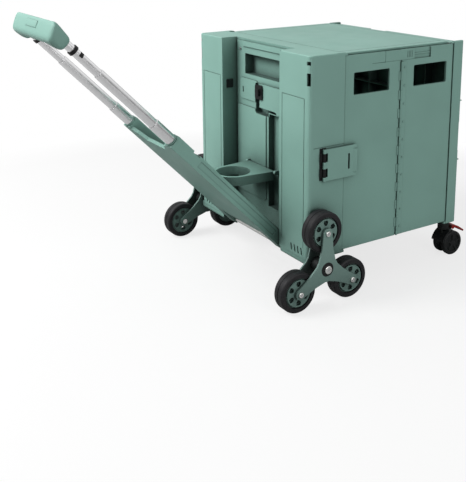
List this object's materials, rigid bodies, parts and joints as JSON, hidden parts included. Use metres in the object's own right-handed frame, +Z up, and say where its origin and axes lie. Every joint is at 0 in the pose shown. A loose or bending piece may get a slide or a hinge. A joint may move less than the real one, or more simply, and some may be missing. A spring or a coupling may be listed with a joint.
{
  "type": "stair climbing trolley",
  "caption": "Folding plastic crate trolley with a telescopic handle, tri-star stair wheels at the rear and swivel casters at the front.",
  "frame": {"origin": "centre of the footprint's bounding box, on the ground under the wheels, open crate with the handle reclined", "axes": "+X from the handle side towards the front shell, +Y to the left for someone holding the handle, +Z up"},
  "size_m": [0.9018, 0.506, 0.574],
  "materials": {
    "green_plastic": "matte",
    "green_plate": "satin",
    "green_rim": "satin",
    "tyre_rubber": "matte",
    "black_plastic": "satin",
    "tube_aluminium": "polished",
    "bolt_chrome": "bright",
    "pin_steel": "satin",
    "red_plastic": "satin",
    "reflector_grey": "glossy"
  },
  "bodies": {
    "rear_body": {"rear_shell": "green_plastic", "recess_panel": "green_plastic", "panel_catches": "black_plastic", "recess_screws": "pin_steel", "rear_hinge_pins": "pin_steel", "latch_brackets": "black_plastic", "main_axle": "bolt_chrome"},
    "front_body": {"front_shell": "green_plastic", "front_reflector": "reflector_grey", "front_hinge_pins": "pin_steel", "caster_sockets": "black_plastic"},
    "lid": {"lid": "green_plastic"},
    "floor_board": {"floor_board": "green_plastic"},
    "cup_holder": {"cup_holder": "green_plastic"},
    "handle_panel": {"handle_panel": "green_plastic", "outer_tubes": "tube_aluminium", "outer_collars": "green_plastic"},
    "handle_mid": {"mid_tubes": "tube_aluminium"},
    "handle_top": {"inner_tubes": "tube_aluminium", "tube_rings": "black_plastic", "grip_back": "green_plastic", "grip_front": "green_plastic"},
    "grip_button": {"grip_button": "green_plastic"},
    "side_rear_left": {"side_panel_rear_left": "green_plastic"},
    "side_front_left": {"side_panel_front_left": "green_plastic", "mid_hinge_strip_left": "green_plastic"},
    "bridge_lock_left": {"bridge_lock_left": "green_plastic"},
    "side_latch_left": {"side_latch_left": "green_plastic"},
    "side_rear_right": {"side_panel_rear_right": "green_plastic"},
    "side_front_right": {"side_panel_front_right": "green_plastic", "mid_hinge_strip_right": "green_plastic"},
    "bridge_lock_right": {"bridge_lock_right": "green_plastic"},
    "side_latch_right": {"side_latch_right": "green_plastic"},
    "star_left": {"star_outer_plate_left": "green_plate", "star_inner_plate_left": "green_plate", "star_hub_left": "black_plastic", "star_bolts_left": "bolt_chrome"},
    "wheel_left_top": {"rim_left_top": "green_rim", "tyre_left_top": "tyre_rubber"},
    "wheel_left_rear": {"rim_left_rear": "green_rim", "tyre_left_rear": "tyre_rubber"},
    "wheel_left_front": {"rim_left_front": "green_rim", "tyre_left_front": "tyre_rubber"},
    "caster_left": {"caster_fork_left": "black_plastic"},
    "caster_left_wheels": {"caster_wheels_left": "black_plastic"},
    "caster_left_pedal": {"caster_pedal_left": "red_plastic"},
    "star_right": {"star_outer_plate_right": "green_plate", "star_inner_plate_right": "green_plate", "star_hub_right": "black_plastic", "star_bolts_right": "bolt_chrome"},
    "wheel_right_top": {"rim_right_top": "green_rim", "tyre_right_top": "tyre_rubber"},
    "wheel_right_rear": {"rim_right_rear": "green_rim", "tyre_right_rear": "tyre_rubber"},
    "wheel_right_front": {"rim_right_front": "green_rim", "tyre_right_front": "tyre_rubber"},
    "caster_right": {"caster_fork_right": "black_plastic"},
    "caster_right_wheels": {"caster_wheels_right": "black_plastic"},
    "caster_right_pedal": {"caster_pedal_right": "red_plastic"}
  },
  "joints": [
    {"name": "crate_fold", "type": "hinge", "parent": "rear_body", "child": "side_rear_right", "pos_m": [0.09577, -0.203, 0.28], "axis": [0, 0, 1], "range_deg": [0, 90]},
    {"name": "mid_hinge_right", "type": "hinge", "parent": "side_rear_right", "child": "side_front_right", "pos_m": [0.23787, -0.2065, 0.28], "axis": [0, 0, 1], "range_deg": [-180, 0]},
    {"name": "front_hinge_right", "type": "hinge", "parent": "side_front_right", "child": "front_body", "pos_m": [0.37997, -0.203, 0.28], "axis": [0, 0, 1], "range_deg": [0, 90]},
    {"name": "rear_hinge_left", "type": "hinge", "parent": "rear_body", "child": "side_rear_left", "pos_m": [0.09577, 0.203, 0.28], "axis": [0, 0, 1], "range_deg": [-90, 0]},
    {"name": "mid_hinge_left", "type": "hinge", "parent": "side_rear_left", "child": "side_front_left", "pos_m": [0.23787, 0.2065, 0.28], "axis": [0, 0, 1], "range_deg": [0, 180]},
    {"name": "lid_hinge", "type": "hinge", "parent": "rear_body", "child": "lid", "pos_m": [0.08337, 0, 0.477], "axis": [0, 1, 0], "range_deg": [-100, 90]},
    {"name": "floor_hinge", "type": "hinge", "parent": "rear_body", "child": "floor_board", "pos_m": [0.07537, 0, 0.0834], "axis": [0, -1, 0], "range_deg": [0, 90]},
    {"name": "handle_tilt", "type": "hinge", "parent": "rear_body", "child": "handle_panel", "pos_m": [0.02487, 0, 0.076], "axis": [0, 1, 0], "range_deg": [0, 44.5]},
    {"name": "cup_holder_hinge", "type": "hinge", "parent": "rear_body", "child": "cup_holder", "pos_m": [0.03937, 0, 0.214], "axis": [0, 1, 0], "range_deg": [0, 90.01]},
    {"name": "mid_tube_slide", "type": "slide", "parent": "handle_panel", "child": "handle_mid", "axis": [-0.7009, 0, 0.7133], "range_m": [-0.127, 0]},
    {"name": "grip_tube_slide", "type": "slide", "parent": "handle_mid", "child": "handle_top", "axis": [-0.7009, 0, 0.7133], "range_m": [-0.058, 0]},
    {"name": "grip_button_press", "type": "slide", "parent": "handle_top", "child": "grip_button", "axis": [0.7009, 0, -0.7133], "range_m": [0, 0.004]},
    {"name": "bridge_lock_slide_left", "type": "slide", "parent": "side_front_left", "child": "bridge_lock_left", "axis": [1, 0, 0], "range_m": [0, 0.0435]},
    {"name": "side_latch_hinge_left", "type": "hinge", "parent": "rear_body", "child": "side_latch_left", "pos_m": [0.04287, 0.2109, 0.2695], "axis": [0, 0, 1], "range_deg": [0, 100]},
    {"name": "star_left_spin", "type": "hinge", "parent": "rear_body", "child": "star_left", "pos_m": [0.02487, 0.229, 0.076], "axis": [0, 1, 0], "continuous": true},
    {"name": "wheel_left_top_spin", "type": "hinge", "parent": "star_left", "child": "wheel_left_top", "pos_m": [0.02487, 0.229, 0.148], "axis": [0, 1, 0], "continuous": true},
    {"name": "wheel_left_rear_spin", "type": "hinge", "parent": "star_left", "child": "wheel_left_rear", "pos_m": [-0.03748, 0.229, 0.04], "axis": [0, 1, 0], "continuous": true},
    {"name": "wheel_left_front_spin", "type": "hinge", "parent": "star_left", "child": "wheel_left_front", "pos_m": [0.08722, 0.229, 0.04], "axis": [0, 1, 0], "continuous": true},
    {"name": "caster_left_swivel", "type": "hinge", "parent": "front_body", "child": "caster_left", "pos_m": [0.39787, 0.186, 0.07], "axis": [0, 0, 1], "continuous": true},
    {"name": "caster_left_wheel_spin", "type": "hinge", "parent": "caster_left", "child": "caster_left_wheels", "pos_m": [0.41287, 0.186, 0.027], "axis": [0, 1, 0], "continuous": true},
    {"name": "caster_left_pedal_hinge", "type": "hinge", "parent": "caster_left", "child": "caster_left_pedal", "pos_m": [0.41687, 0.186, 0.062], "axis": [0, 1, 0], "range_deg": [0, 12]},
    {"name": "bridge_lock_slide_right", "type": "slide", "parent": "side_front_right", "child": "bridge_lock_right", "axis": [1, 0, 0], "range_m": [0, 0.0435]},
    {"name": "side_latch_hinge_right", "type": "hinge", "parent": "rear_body", "child": "side_latch_right", "pos_m": [0.04287, -0.2109, 0.2695], "axis": [0, 0, -1], "range_deg": [0, 100]},
    {"name": "star_right_spin", "type": "hinge", "parent": "rear_body", "child": "star_right", "pos_m": [0.02487, -0.229, 0.076], "axis": [0, 1, 0], "continuous": true},
    {"name": "wheel_right_top_spin", "type": "hinge", "parent": "star_right", "child": "wheel_right_top", "pos_m": [0.02487, -0.229, 0.148], "axis": [0, 1, 0], "continuous": true},
    {"name": "wheel_right_rear_spin", "type": "hinge", "parent": "star_right", "child": "wheel_right_rear", "pos_m": [-0.03748, -0.229, 0.04], "axis": [0, 1, 0], "continuous": true},
    {"name": "wheel_right_front_spin", "type": "hinge", "parent": "star_right", "child": "wheel_right_front", "pos_m": [0.08722, -0.229, 0.04], "axis": [0, 1, 0], "continuous": true},
    {"name": "caster_right_swivel", "type": "hinge", "parent": "front_body", "child": "caster_right", "pos_m": [0.39787, -0.186, 0.07], "axis": [0, 0, 1], "continuous": true},
    {"name": "caster_right_wheel_spin", "type": "hinge", "parent": "caster_right", "child": "caster_right_wheels", "pos_m": [0.41287, -0.186, 0.027], "axis": [0, 1, 0], "continuous": true},
    {"name": "caster_right_pedal_hinge", "type": "hinge", "parent": "caster_right", "child": "caster_right_pedal", "pos_m": [0.41687, -0.186, 0.062], "axis": [0, 1, 0], "range_deg": [0, 12]}
  ],
  "couplings": [
    {"joint": "mid_hinge_right", "follows": "crate_fold", "ratio": -2},
    {"joint": "front_hinge_right", "follows": "crate_fold", "ratio": 1},
    {"joint": "rear_hinge_left", "follows": "crate_fold", "ratio": -1},
    {"joint": "mid_hinge_left", "follows": "crate_fold", "ratio": 2},
    {"joint": "cup_holder_hinge", "follows": "handle_tilt", "ratio": 2.0225}
  ]
}
